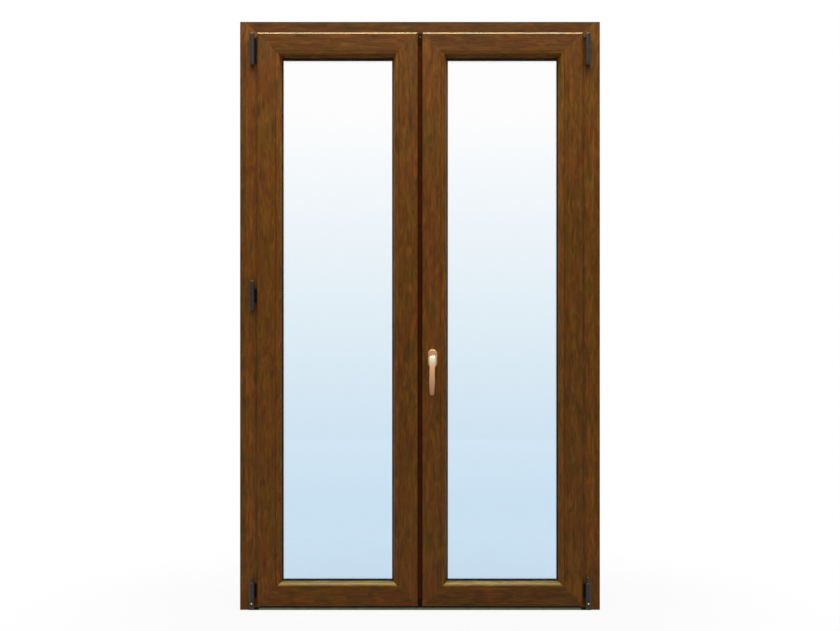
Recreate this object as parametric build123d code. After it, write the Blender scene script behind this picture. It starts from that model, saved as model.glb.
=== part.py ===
"""French doors: two glazed PVC leaves in their own frame, foiled in walnut, on a low threshold.

The right leaf is the one used every day: it turns inwards, and tilts inwards on its bottom bearing.
The left leaf is bolted top and bottom, carries the meeting profile, and opens after the right one.
X runs to the right seen from the room, Y runs outdoors, Z is up. The origin is on the floor, at mid
width and mid depth of the frame.
"""

import math
import os

from build123d import *

# Frame, in millimetres
FRAME_WIDTH = 1285.0
FRAME_HEIGHT = 2100.0
FRAME_DEPTH = 70.0
FRAME_FACE = 50.0
LEG_REACH = 22.0
LEG_THICKNESS = 16.0
EXTENSION = 20.0
THRESHOLD_HEIGHT = 24.0
NOSE = 2.0
NOSE_HEIGHT = 8.2

# Leaves
OVERLAP = 20.0
REBATE_GAP = 12.0
LEAF_STAND = 19.0
LEAF_DEPTH = 70.0
LIP_THICKNESS = 15.5
SASH_FACE = 67.0
SASH_LEG = 87.0
SASH_RADIUS = 6.5
LEG_FACE = 54.0
BEAD_REACH = 87.5
SEAL_SHOWN = 4.5
MEETING_GROOVE = 15.5
PANE = 4.0
UNIT = 24.0
GLASS_INSET = 72.0
GLAZING_SEAL = 3.0
LIP_SEAL = 3.1
WALL = 2.8
STEEL = 1.5
WELD_ROOM = 10.0
SETTING_BLOCK = 100.0
DRAIN = (28.0, 5.0)

# Wall fixings through both jambs
FIXING_LEVELS = (150.0, 750.0, 1350.0, 1950.0)
FIXING_RADIUS = 3.75
FIXING_Y = -8.0

# Hinges
HINGE_FROM_EDGE = 45.0
HINGE_RADIUS = 9.3
HINGE_PIN_RADIUS = 4.0
HINGE_PLATE = 3.0
STRAP = 2.5
RUNNING = 0.05
FREE = 0.3
TOP_EYES = ((1939.0, 1950.0), (2045.3, 2056.0))
MIDDLE_EYES = ((1065.0, 1094.0), (1150.0, 1175.0))
CUP = (9.0, 38.0)
CUP_SCREW = (28.0, 2.4)
BOTTOM_SLEEVE = (38.9, 121.0)
TOP_PIN = (1939.0, 2050.0)
MIDDLE_PIN = (1072.0, 1169.0)
BOTTOM_PIN = (14.0, 112.0)
SEAL_GAPS_LEFT = ((40.0, 125.0), (1090.0, 1154.0), (1946.0, 2050.0))
SEAL_GAP_STAY = (2036.0, 2050.0)

# Tilt bearing and stay
TILT_AXIS_HEIGHT = 34.0
BALL_RADIUS = 4.5
BALL_PIN_RADIUS = 3.0
BALL_PIN_TOP = 110.0
BUSH_RADIUS = 6.9
BUSH = (16.0, 36.0)
STAY_LENGTH = 350.0
STAY_LEVELS = (2040.5, 2044.5)
STAY_SLOT = (241.0, 271.0)

# Lock gear
HANDLE_HEIGHT = 898.0
ROD_TRAVEL = 36.0
PINION_TEETH = 10
PITCH_RADIUS = ROD_TRAVEL / math.pi
PRESSURE_ANGLE = math.radians(25)
TOOTH_TIP = 1.6
TOOTH_ROOT = 2.0
BACKLASH = 0.5
FACEPLATE = 2.0
CAM_REACH = 7.5
CAM_STEM = 3.5
CAM_HEAD = 5.5
CAM_LEVELS = (330.0, 1180.0, 1760.0)
ROD_LEVELS = (90.0, 1950.0)
ROD_WIDTH = 8.0
ROD_THICKNESS = 3.0
RAIL_ROD = (105.0, 215.0)
RAIL_CAM = 165.0
CASE_HALF = 50.0
BOSS_RADIUS = 8.0

# Handle
SPINDLE_SIDE = 7.0
HANDLE_SCREW_OFFSETS = (-21.5, 21.5)
ROSETTE = (33.0, 66.0, 6.5)
ROSETTE_CROWN = (26.0, 59.0, 10.0)
COLLAR = (14.0, 12.0)
NECK_RADIUS = 10.0
LEVER_STAND = 56.0
# Drop below the spindle, width, thickness and sideways lean of the lever's grip
LEVER_SECTIONS = (
    (-7.5, 16, 8, -0.6),
    (-4.5, 21.5, 12, -0.8),
    (2, 24, 14, -1.0),
    (11, 23.4, 14.5, -1.2),
    (25, 20.6, 14.5, -1.6),
    (46, 19.6, 14, -2.2),
    (72, 19.8, 13.5, -2.6),
    (99, 18.6, 13, -2.8),
    (118, 16.6, 12, -3),
    (126, 14, 10, -3),
    (129.5, 10, 6.5, -3),
)

# Meeting profile and flush bolts
MULLION_LEVELS = (42.0, 2017.5)
MULLION_NOSE = 12.0
CAP_SCREW = (2044.5, 3.2)
BOLT_SLOTS = ((150.0, 192.0), (1880.0, 1922.0))
BOLT_RADIUS = 4.0
BOLT_LENGTH = 180.0
BOLT_HOLE = 5.0
BOLT_ROOM = 24.0

# Levels and planes that follow from them
ROOM = -FRAME_DEPTH / 2
OUTDOORS = FRAME_DEPTH / 2
LEG_INNER = OUTDOORS - LEG_THICKNESS
LEAF_ROOM = ROOM - LEAF_STAND
LEAF_BACK = LEAF_ROOM + LEAF_DEPTH
LIP_BACK = LEAF_ROOM + LIP_THICKNESS
HALF = FRAME_WIDTH / 2
JAMB_EDGE = HALF - EXTENSION
JAMB_REBATE = JAMB_EDGE - FRAME_FACE
HEAD_REBATE = FRAME_HEIGHT - FRAME_FACE
LAP = OVERLAP - REBATE_GAP
LIP_SIDE = JAMB_REBATE + LAP
LIP_TOP = HEAD_REBATE + LAP
LIP_BOTTOM = THRESHOLD_HEIGHT - LAP
LIP_MEETING = MEETING_GROOVE / 2
BODY_SIDE = LIP_SIDE - OVERLAP
BODY_TOP = LIP_TOP - OVERLAP
BODY_BOTTOM = LIP_BOTTOM + OVERLAP
BODY_MEETING = LIP_MEETING + OVERLAP
HINGE_X = HALF - HINGE_FROM_EDGE
HINGE_Y = LEAF_ROOM - 1.0
GROOVE_Y = LIP_BACK + 13.0
GLASS_BACK = LEAF_ROOM + LEG_FACE - GLAZING_SEAL
GLASS_ROOM = GLASS_BACK - UNIT
MULLION_RIGHT = BODY_MEETING - REBATE_GAP
ROD_BACK = BODY_MEETING + FACEPLATE + 0.3
RACK_PITCH_LINE = ROD_BACK + 1.3 + TOOTH_ROOT
SPINDLE_X = RACK_PITCH_LINE + PITCH_RADIUS
BOLT_X = MULLION_RIGHT - 7.75
BOLT_Y = -14.0
THRESHOLD_FRONT = ROOM + 2
THRESHOLD_HALF = JAMB_REBATE - 3
NOSE_HALF = JAMB_REBATE + 3
SLEEVE_INNER = (HINGE_X - 6.5, HINGE_X - 1.0)
PLATE_SPAN = (HINGE_X + 0.5, HINGE_X + 9.0)

LEAF_BOX = (LIP_MEETING, LIP_BOTTOM, LIP_SIDE, LIP_TOP)
FRAME_BOX = (-JAMB_EDGE, 0.0, JAMB_EDGE, FRAME_HEIGHT)
SIDES = ("left", "right", "bottom", "top")


def outline(points, radii=None):
    """A closed flat shape from its corners, each rounded by its own radius."""
    if radii is None:
        return make_face(Polyline(*points, close=True))
    return make_face(FilletPolyline(*points, radius=radii, close=True))


def slab(u0, v0, u1, v1):
    """A rectangle between two corners of the drawing plane."""
    return Pos((u0 + u1) / 2, (v0 + v1) / 2) * Rectangle(u1 - u0, v1 - v0)


def block(low, high):
    """A box between its lowest and its highest corner."""
    size = [b - a for a, b in zip(low, high)]
    centre = [(a + b) / 2 for a, b in zip(low, high)]
    return Pos(*centre) * Box(*size)


def upright(shape, z0, z1):
    """A plan shape raised from one level to another."""
    return extrude(Pos(0, 0, z0) * shape, amount=z1 - z0)


def rod(x, y, radius, z0, z1):
    """A round bar that stands upright."""
    return Pos(x, y, (z0 + z1) / 2) * Cylinder(radius, z1 - z0)


def across(x, z, radius, y0, y1):
    """A round bar along Y."""
    return Pos(x, (y0 + y1) / 2, z) * Rot(90, 0, 0) * Cylinder(radius, y1 - y0)


def along_x(y, z, radius, x0, x1):
    """A round bar along X."""
    return Pos((x0 + x1) / 2, y, z) * Rot(0, 90, 0) * Cylinder(radius, x1 - x0)


def turned(points, radii):
    """A piece turned on the hinge axis from half its outline."""
    return Pos(HINGE_X, HINGE_Y, 0) * revolve(Plane.XZ * outline(points, radii), axis=Axis.Z)


def bar(section, box, side, reach, square_foot=False):
    """One bar of a rectangular frame: its section counts inwards from the edge, its ends are mitred."""
    x0, z0, x1, z1 = box
    starts = {
        "left": Plane(origin=(x0, 0, z0), x_dir=(1, 0, 0), z_dir=(0, 0, 1)),
        "right": Plane(origin=(x1, 0, z1), x_dir=(-1, 0, 0), z_dir=(0, 0, -1)),
        "bottom": Plane(origin=(x1, 0, z0), x_dir=(0, 0, 1), z_dir=(-1, 0, 0)),
        "top": Plane(origin=(x0, 0, z1), x_dir=(0, 0, -1), z_dir=(1, 0, 0)),
    }
    length = z1 - z0 if side in ("left", "right") else x1 - x0
    foot = z0 if square_foot else z0 + reach
    mitres = {
        "left": [(x0, z0), (x0 + reach, foot), (x0 + reach, z1 - reach), (x0, z1)],
        "right": [(x1, z0), (x1 - reach, foot), (x1 - reach, z1 - reach), (x1, z1)],
        "bottom": [(x0, z0), (x1, z0), (x1 - reach, z0 + reach), (x0 + reach, z0 + reach)],
        "top": [(x0, z1), (x1, z1), (x1 - reach, z1 - reach), (x0 + reach, z1 - reach)],
    }
    whole = extrude(starts[side] * section, amount=length)
    limit = extrude(Plane.XZ * outline(mitres[side]), amount=2 * FRAME_DEPTH, both=True)
    return whole & limit


def mirrored(shape, left):
    """The same piece for the left leaf."""
    return mirror(shape, about=Plane.YZ) if left else shape


def frame_section():
    """The frame bar: a body beside the leaf, a leg behind it, and sealed chambers."""
    face, leg = FRAME_FACE, FRAME_FACE + LEG_REACH
    shell = outline(
        [
            (0, ROOM),
            (face, ROOM),
            (face, LEG_INNER),
            (leg - 1, LEG_INNER),
            (leg, LEG_INNER + 1),
            (leg - 3, OUTDOORS),
            (0, OUTDOORS),
        ],
        [0, 3, 0, 0, 0, 2, 0],
    )
    for v in (-20, 15):
        shell -= slab(0, v - 3, 4, v + 3)
    shell -= slab(7, ROOM + WALL, face - WALL, ROOM + 10)
    shell -= slab(7, ROOM + 11.5, face - WALL, 6)
    shell -= slab(7, 7.5, face - WALL, LEG_INNER + 0.5)
    shell -= slab(7, LEG_INNER + 2.6, leg - 5, OUTDOORS - WALL)
    return shell


def steel_section():
    """The steel channel in the frame's middle chamber, open towards the wall."""
    u0, u1, v0, v1 = 10.0, FRAME_FACE - WALL - FREE, ROOM + 12, 5.5
    return slab(u0, v0, u1, v1) - slab(u0, v0 + STEEL, u1 - STEEL, v1 - STEEL)


def extension_section():
    """The widening strip on each jamb, with the two tongues that clip into the jamb."""
    tongue = 3.6
    shell = slab(0, ROOM, EXTENSION, OUTDOORS)
    for v0, v1 in ((ROOM + 2.5, -1.2), (1.2, OUTDOORS - 2.5)):
        shell -= slab(2.5, v0, EXTENSION - 2.5, v1)
    for v in (-20, 15):
        shell += slab(EXTENSION - 0.5, v - 2.7, EXTENSION + tongue, v + 2.7)
    return shell


def sash_section():
    """The leaf bar: lip on the room side, body in the rebate, leg behind the glass, lock groove."""
    seat = LEAF_ROOM + LEG_FACE
    shell = outline(
        [
            (0, LEAF_ROOM),
            (SASH_FACE, LEAF_ROOM),
            (SASH_FACE, seat),
            (SASH_LEG, seat),
            (SASH_LEG - 2.5, LEAF_BACK),
            (OVERLAP, LEAF_BACK),
            (OVERLAP, LIP_BACK),
            (0, LIP_BACK),
        ],
        [SASH_RADIUS, 1.2, 0, 1, 2, 1, 0, 1],
    )
    shell -= slab(OVERLAP, GROOVE_Y - 8, OVERLAP + FACEPLATE, GROOVE_Y + 8)
    shell -= slab(OVERLAP, GROOVE_Y - 6, OVERLAP + 9, GROOVE_Y + 6)
    shell -= slab(3.5, LIP_BACK - 3, 6.5, LIP_BACK)
    shell -= slab(SASH_FACE - 3.5, -46, SASH_FACE, -42)
    shell -= slab(8.5, LEAF_ROOM + WALL, 61, -47.5)
    shell -= slab(32, -41, 52, -8)
    shell -= slab(53.5, -39.5, SASH_FACE - WALL, -5)
    shell -= slab(OVERLAP + WALL, GROOVE_Y + 11, 30.5, 0)
    shell -= slab(OVERLAP + WALL, 3, SASH_LEG - 5, LEAF_BACK - WALL)
    return shell


def sash_steel_section():
    """The steel channel in the leaf bar's chamber beside the glass."""
    u0, u1, v0, v1 = 53.8, SASH_FACE - WALL - FREE, -39.2, -5.3
    return slab(u0, v0, u1, v1) - slab(u0, v0 + STEEL, u1 - STEEL, v1 - STEEL)


def bead_section():
    """The glazing bead: upright back, a face that rolls over towards the glass, and a clip foot."""
    edge = SASH_FACE + 0.3
    front = LEAF_ROOM + 1
    shell = outline(
        [
            (edge, GLASS_ROOM - GLAZING_SEAL),
            (edge, front),
            (edge + 9, front + 0.6),
            (BEAD_REACH - 4.5, front + 8.5),
            (BEAD_REACH, GLASS_ROOM - GLAZING_SEAL - 6),
            (BEAD_REACH, GLASS_ROOM - GLAZING_SEAL),
        ],
        [0, 1.6, 9, 6, 2, 0.5],
    )
    shell -= slab(edge + 2.2, front + 6, BEAD_REACH - 8.5, GLASS_ROOM - GLAZING_SEAL - 2)
    return shell + slab(SASH_FACE - 2.8, -45.6, edge + 0.5, -42.4)


def frame_bars():
    """The welded head and jambs: mitred at the top, square on the floor, drilled for their wall fixings."""
    section = frame_section()
    reach = FRAME_FACE + LEG_REACH
    head = bar(section, FRAME_BOX, "top", reach)
    head -= rod(BOLT_X, BOLT_Y, BOLT_HOLE, HEAD_REBATE - 1, HEAD_REBATE + BOLT_ROOM)
    jamb = bar(section, FRAME_BOX, "left", reach, square_foot=True) - fixing_holes()
    return head, jamb, mirror(jamb, about=Plane.YZ)


def fixing_holes():
    """The holes through the left jamb, its steel and its widening strip for the wall fixings."""
    drills = []
    for z in FIXING_LEVELS:
        drills.append(along_x(FIXING_Y, z, FIXING_RADIUS, -HALF - 1, -JAMB_REBATE + 1))
    return drills


def strip_pieces():
    """The widening strip beside each jamb, cut square from floor to top."""
    start = Plane(origin=(-HALF, 0, 0), x_dir=(1, 0, 0), z_dir=(0, 0, 1))
    strip = extrude(start * extension_section(), amount=FRAME_HEIGHT) - fixing_holes()
    return [strip, mirror(strip, about=Plane.YZ)]


def steel_pieces():
    """The three steel channels, stopped short of the welded corners."""
    section = steel_section()
    corner = FRAME_FACE + WELD_ROOM
    start = Plane(origin=(-JAMB_EDGE, 0, corner), x_dir=(1, 0, 0), z_dir=(0, 0, 1))
    jamb = extrude(start * section, amount=FRAME_HEIGHT - 2 * corner) - fixing_holes()
    top = Plane(origin=(corner - JAMB_EDGE, 0, FRAME_HEIGHT), x_dir=(0, 0, -1), z_dir=(1, 0, 0))
    head = extrude(top * section, amount=2 * (JAMB_EDGE - corner))
    head -= rod(BOLT_X, BOLT_Y, BOLT_HOLE + 0.5, HEAD_REBATE - 1, HEAD_REBATE + BOLT_ROOM)
    return [jamb, mirror(jamb, about=Plane.YZ), head]


def frame_seal():
    """The seal on the frame's leg that the leaves close against."""
    y0, y1 = LEG_INNER - 2.7, LEG_INNER
    width = 5.0
    inset = FRAME_FACE + LEG_REACH - 7
    inner, outer = JAMB_EDGE - inset - width, JAMB_EDGE - inset
    low, high = FRAME_HEIGHT - inset - width, FRAME_HEIGHT - inset
    sides = [block((x, y0, THRESHOLD_HEIGHT + 1), (x + width, y1, low)) for x in (-outer, inner)]
    return [*sides, block((-outer, y0, low), (outer, y1, high))]


def threshold_rail():
    """The threshold's room side: a hollow rail whose nose laps over the feet of the jambs."""
    half, front, top = THRESHOLD_HALF, THRESHOLD_FRONT, THRESHOLD_HEIGHT
    side = Plane(origin=(-half, 0, 0), x_dir=(0, 1, 0), z_dir=(1, 0, 0))
    rail = outline([(front, 0), (-4, 0), (-4, top), (front, top)], [0, 0, 0, 2.5])
    rail -= slab(front + 2, 2, -6, 6.5)
    rail -= slab(front + 2, 8.5, -6, top - 2.2)
    part = extrude(side * rail, amount=2 * half)
    part += block((-half, ROOM - NOSE, 0), (half, front + 0.5, NOSE_HEIGHT))
    part += block((-NOSE_HALF, ROOM - NOSE, 0), (NOSE_HALF, ROOM, NOSE_HEIGHT))
    return part - rod(BOLT_X, BOLT_Y, BOLT_HOLE, 4, top + 1)


def threshold_sill():
    """The threshold's outer side: a hollow sill with a fall, cut back where the jambs' legs stand."""
    half, top = THRESHOLD_HALF, THRESHOLD_HEIGHT
    side = Plane(origin=(-half, 0, 0), x_dir=(0, 1, 0), z_dir=(1, 0, 0))
    sill = outline(
        [(4, 0), (OUTDOORS, 0), (OUTDOORS, 15), (OUTDOORS - 6, 17.5), (LEG_INNER, top - 1), (4, top)],
        [0, 0, 1.5, 1, 1, 0],
    )
    sill -= slab(6, 2, 17, 10)
    sill -= slab(19, 2, OUTDOORS - 2, 12.5)
    part = extrude(side * sill, amount=2 * half)
    leg = JAMB_EDGE - FRAME_FACE - LEG_REACH
    for sign in (-1, 1):
        x0, x1 = sorted((sign * leg, sign * HALF))
        part -= block((x0, LEG_INNER, -1), (x1, OUTDOORS + 1, top + 1))
    return part


def threshold_break():
    """The plastic strip that keeps the two halves of the threshold apart."""
    side = Plane(origin=(-THRESHOLD_HALF, 0, 0), x_dir=(0, 1, 0), z_dir=(1, 0, 0))
    top = THRESHOLD_HEIGHT
    strip = slab(-4, 0, 4, 3) + slab(-4, top - 5.5, 4, top - 2.5) + slab(-1, 2, 1, top - 4)
    return extrude(side * strip, amount=2 * THRESHOLD_HALF)


def threshold_ends():
    """The black pads between the threshold and the jambs, and the black caps on the jambs' feet."""
    pad = block((THRESHOLD_HALF, THRESHOLD_FRONT, 0), (JAMB_REBATE, LEG_INNER, THRESHOLD_HEIGHT))
    cap = block((NOSE_HALF, ROOM - HINGE_PLATE, 0), (HINGE_X + 14, ROOM, CUP[0]))
    return [pad, cap, mirror(pad, about=Plane.YZ), mirror(cap, about=Plane.YZ)]


def leaf_bars(left):
    """The four welded bars of one leaf, drilled for the handle and cut for the lock on the right one."""
    section = sash_section()
    bars = {side: bar(section, LEAF_BOX, side, SASH_LEG) for side in SIDES}
    if not left:
        bars["left"] -= block(
            (BODY_MEETING - 1, GROOVE_Y - 6.5, HANDLE_HEIGHT - CASE_HALF - 2),
            (BODY_MEETING + 32, GROOVE_Y + 6.5, HANDLE_HEIGHT + CASE_HALF + 2),
        )
        bars["left"] -= across(SPINDLE_X, HANDLE_HEIGHT, 6.5, LEAF_ROOM - 1, GROOVE_Y)
        for z in HANDLE_SCREW_OFFSETS:
            bars["left"] -= across(SPINDLE_X, HANDLE_HEIGHT + z, 2.6, LEAF_ROOM - 1, GROOVE_Y - 5)
        bars["top"] -= block(
            (STAY_SLOT[0] - 2, GROOVE_Y - 6, BODY_TOP - 12), (STAY_SLOT[1] + 2, GROOVE_Y + 6, BODY_TOP)
        )
    x0, z0, x1, z1 = LEAF_BOX
    width, height = DRAIN
    for share in (0.25, 0.75):
        x, z = x0 + share * (x1 - x0), z0 + OVERLAP + WALL + 2
        bars["bottom"] -= block(
            (x - width / 2, LEAF_BACK - WALL - 1, z), (x + width / 2, LEAF_BACK + 1, z + height)
        )
    names = {"left": "lock_stile", "right": "hinge_stile", "bottom": "bottom_rail", "top": "top_rail"}
    return {names[side]: mirrored(bars[side], left) for side in SIDES}


def leaf_steel(left):
    """The four steel channels of one leaf, stopped short of the welds."""
    section = sash_steel_section()
    inset = SASH_LEG + WELD_ROOM / 2
    x0, z0, x1, z1 = LEAF_BOX
    pieces = []
    for side in SIDES:
        whole = bar(section, LEAF_BOX, side, SASH_LEG)
        low, high = (-HALF, -FRAME_DEPTH, z0 + inset), (HALF, FRAME_DEPTH, z1 - inset)
        if side in ("bottom", "top"):
            low, high = (x0 + inset, -FRAME_DEPTH, 0), (x1 - inset, FRAME_DEPTH, FRAME_HEIGHT)
        pieces.append(mirrored(whole & block(low, high), left))
    return pieces


def leaf_beads(left):
    """The four mitred glazing beads of one leaf."""
    section = bead_section()
    return [mirrored(bar(section, LEAF_BOX, side, BEAD_REACH), left) for side in SIDES]


def ring(inset, width, y0, y1):
    """A flat rectangular ring that follows the leaf's outline."""
    x0, z0, x1, z1 = LEAF_BOX
    outer = block((x0 + inset, y0, z0 + inset), (x1 - inset, y1, z1 - inset))
    inner = inset + width
    return outer - block((x0 + inner, y0 - 1, z0 + inner), (x1 - inner, y1 + 1, z1 - inner))


def leaf_glass(left):
    """The two panes of one sealed unit and the hollow spacer between them."""
    x0, z0, x1, z1 = LEAF_BOX
    low, high = (x0 + GLASS_INSET, z0 + GLASS_INSET), (x1 - GLASS_INSET, z1 - GLASS_INSET)
    panes = []
    for y in (GLASS_ROOM, GLASS_BACK - PANE):
        panes.append(mirrored(block((low[0], y, low[1]), (high[0], y + PANE, high[1])), left))
    spacer = ring(GLASS_INSET + 2, 10, GLASS_ROOM + PANE, GLASS_BACK - PANE)
    spacer -= ring(GLASS_INSET + 3, 8, GLASS_ROOM + PANE + 1, GLASS_BACK - PANE - 1)
    return panes, mirrored(spacer, left)


def setting_blocks():
    """The plastic blocks that carry and centre the glass in the leaf."""
    x0, z0, x1, z1 = LEAF_BOX
    near, far = SASH_FACE, GLASS_INSET
    blocks = []
    for x in (x0 + GLASS_INSET + 50, x1 - GLASS_INSET - 50 - SETTING_BLOCK):
        blocks.append(block((x, GLASS_ROOM, z0 + near), (x + SETTING_BLOCK, GLASS_BACK, z0 + far)))
    low = z0 + GLASS_INSET + 50
    blocks.append(block((x1 - far, GLASS_ROOM, low), (x1 - near, GLASS_BACK, low + SETTING_BLOCK)))
    high = z1 - GLASS_INSET - 50
    blocks.append(block((x0 + near, GLASS_ROOM, high - SETTING_BLOCK), (x0 + far, GLASS_BACK, high)))
    return blocks


def glazing_seals(left):
    """The seals on both faces of the glass, whose lips show beside the bead and the leg, and the blocks."""
    reach = BEAD_REACH + SEAL_SHOWN
    pieces = [
        ring(BEAD_REACH - 5, SEAL_SHOWN + 5, GLASS_ROOM - GLAZING_SEAL, GLASS_ROOM),
        ring(SASH_LEG - 7, reach - SASH_LEG + 5, GLASS_BACK, GLASS_BACK + GLAZING_SEAL),
    ]
    return [mirrored(piece, left) for piece in pieces + setting_blocks()]


def lip_seal(left):
    """The seal on the back of the lip. On the tilting leaf its sides stop at the tilt axis."""
    x0, z0, x1, z1 = LEAF_BOX
    y0, y1 = LIP_BACK, LIP_BACK + LIP_SEAL
    near, far = 1.0, 6.0
    if left:
        foot, foot_end, stops = z0 + far, x1 - near, [z0 + far]
        stops += [z for gap in SEAL_GAPS_LEFT for z in gap]
    else:
        foot, foot_end, stops = TILT_AXIS_HEIGHT, JAMB_REBATE - 1, [SEAL_GAPS_LEFT[0][1]]
        stops += SEAL_GAP_STAY
    stops.append(z1 - far)
    runs = [
        block((x0 + near, y0, foot), (x0 + far, y1, z1 - far)),
        block((x0 + near, y0, z1 - far), (x1 - near, y1, z1 - near)),
        block((x0 + near, y0, z0 + near), (foot_end, y1, z0 + far)),
    ]
    for low, high in zip(stops[::2], stops[1::2]):
        runs.append(block((x1 - far, y0, low), (x1 - near, y1, high)))
    return [mirrored(run, left) for run in runs]


def barrel(z0, z1, foot=0.0, top=0.0):
    """A hinge barrel, with its foot or its top rounded."""
    radius = HINGE_RADIUS
    return turned([(0, z0), (radius, z0), (radius, z1), (0, z1)], [0, foot, top, 0])


def hinge_bore(radius, z0, z1):
    """A hole on the hinge axis."""
    return rod(HINGE_X, HINGE_Y, radius, z0, z1)


def frame_lug(eyes, plate_levels):
    """The frame's side of a hinge: a slim plate on the jamb, hidden behind the eyes that it carries."""
    x0, x1 = PLATE_SPAN
    part = upright(slab(x0, ROOM - HINGE_PLATE, x1, ROOM), *plate_levels)
    arm = outline(
        [
            (HINGE_X, HINGE_Y - 4),
            (HINGE_X + 8, HINGE_Y),
            (HINGE_X + 8, ROOM - 2),
            (HINGE_X - 3.5, ROOM - 2),
        ]
    )
    for z0, z1, foot, top in eyes:
        part += barrel(z0, z1, foot, top) + upright(arm, z0 + foot, z1 - top)
    return part


def sleeve_strap(levels):
    """The strap from a barrel straight back, behind the lip and onto the leaf's edge."""
    x0, x1 = SLEEVE_INNER
    strap = outline(
        [
            (x0, HINGE_Y + 5),
            (x1, HINGE_Y + 5),
            (x1, LIP_BACK + STRAP),
            (BODY_SIDE + STRAP, LIP_BACK + STRAP),
            (BODY_SIDE + STRAP, LIP_BACK + 30),
            (BODY_SIDE, LIP_BACK + 30),
            (BODY_SIDE, LIP_BACK),
            (x0, LIP_BACK),
        ]
    )
    return upright(strap, *levels)


def leaf_sleeve(eyes):
    """The leaf's side of a hinge between two eyes: a barrel bored right through, and its strap."""
    z0, z1 = eyes[0][1] + FREE, eyes[1][0] - FREE
    part = barrel(z0, z1) + sleeve_strap((z0 + 2, z1 - 2))
    return part - hinge_bore(HINGE_PIN_RADIUS + RUNNING, z0 - 1, z1 + 1)


def bottom_sleeve(bore, bore_top):
    """The bottom sleeve: a barrel with a narrower round cap, its strap, and a blind bore from below."""
    z0, z1 = BOTTOM_SLEEVE
    neck, shoulder = HINGE_RADIUS - 2.6, z1 - 20
    part = turned(
        [(0, z0), (HINGE_RADIUS, z0), (HINGE_RADIUS, shoulder - 4), (neck, shoulder), (neck, z1), (0, z1)],
        [0, 0, 2, 1, 4, 0],
    )
    part += sleeve_strap((z0 + 6, shoulder - 6))
    return part - hinge_bore(bore, z0 - 1, bore_top)


def top_lug():
    """The top hinge on the frame: a domed upper eye and a rounded lower collar."""
    low, high = TOP_EYES
    part = frame_lug([(*low, 4, 0), (*high, 0, 7)], (low[0] + 5, high[1] - 8))
    return part - hinge_bore(HINGE_PIN_RADIUS + RUNNING, low[0] - 1, TOP_PIN[1])


def middle_lug():
    """The middle hinge on the frame: an eye above and below the leaf's barrel, rounded at the ends."""
    low, high = MIDDLE_EYES
    part = frame_lug([(*low, 6, 0), (*high, 0, 6)], (low[0] + 7, high[1] - 7))
    return part - hinge_bore(HINGE_PIN_RADIUS + RUNNING, *MIDDLE_PIN)


def bottom_cup(bore, floor):
    """The corner bearing on the frame, with the cup that carries the leaf and its adjusting screw."""
    low, high = CUP
    part = frame_lug([(low, high, 4, 0)], (low, high + 6)) - hinge_bore(bore, floor, high + 1)
    front = HINGE_Y - HINGE_RADIUS
    level, radius = CUP_SCREW
    return part + across(HINGE_X, level, radius, front - 0.8, front + 1)


def meeting_profile():
    """The profile on the left leaf that both leaves close against, with its bolt slots."""
    left, right, out = -BODY_MEETING, MULLION_RIGHT, MULLION_RIGHT + OVERLAP
    back = LEG_INNER
    deep = back + MULLION_NOSE
    shell = outline(
        [
            (left, ROOM),
            (right, ROOM),
            (right, back),
            (out, back),
            (out - 2, deep),
            (-out + 2, deep),
            (-out, back),
            (left, back),
        ],
        [0.5, 1, 0, 1, 2, 2, 1, 0],
    )
    shell -= slab(left + 2.5, ROOM + 2.5, -1.5, back - 2)
    shell -= slab(0.5, ROOM + 2.5, right - 2, BOLT_Y - 7.5)
    shell -= slab(BOLT_X - 6.2, BOLT_Y - 6, BOLT_X + 5.5, BOLT_Y + 6)
    shell -= slab(0.5, BOLT_Y + 7.5, right - 2, back - 2)
    shell -= slab(-out + 6, back + 2.5, out - 6, deep - 2.5)
    part = upright(shell, *MULLION_LEVELS)
    for z0, z1 in BOLT_SLOTS:
        part -= block((BOLT_X + 5, BOLT_Y - 3.5, z0), (right + 1, BOLT_Y + 3.5, z1))
    return part


def meeting_caps():
    """The black caps that close the profile's ends and guide the bolts. The top one laps over the head."""
    low, high = MULLION_LEVELS
    reach = HEAD_REBATE - 3
    caps = []
    for z0, z1 in ((THRESHOLD_HEIGHT + 3, low), (high, reach)):
        cap = block((-BODY_MEETING, ROOM, z0), (MULLION_RIGHT, LEAF_BACK, z1))
        caps.append(cap - rod(BOLT_X, BOLT_Y, BOLT_RADIUS + FREE, z0 - 1, z1 + 1))
    half, face = LIP_MEETING - 0.75, LIP_BACK + 0.7
    caps[1] += block((-half, face, high), (half, ROOM + 0.5, reach))
    caps[1] += block((-half, face, high), (half, ROOM - 0.4, LIP_TOP - 1))
    level, radius = CAP_SCREW
    caps[1] += across(0, level, radius, face - 0.8, face + 1)
    return caps


def flush_bolt(top):
    """A finger bolt in the meeting profile: round bar with a thumb block, drawn back."""
    end = HEAD_REBATE - 4 if top else THRESHOLD_HEIGHT + 4
    z0, z1 = (end - BOLT_LENGTH, end) if top else (end, end + BOLT_LENGTH)
    part = rod(BOLT_X, BOLT_Y, BOLT_RADIUS, z0, z1)
    tip = part.edges().filter_by(GeomType.CIRCLE).sort_by(Axis.Z)[-1 if top else 0]
    part = chamfer(tip, 1)
    slot = BOLT_SLOTS[1 if top else 0]
    thumb = slot[0] + 1 if top else slot[1] - 17
    return part + block((BOLT_X, BOLT_Y - 2.5, thumb), (MULLION_RIGHT - FREE, BOLT_Y + 2.5, thumb + 16))


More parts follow.
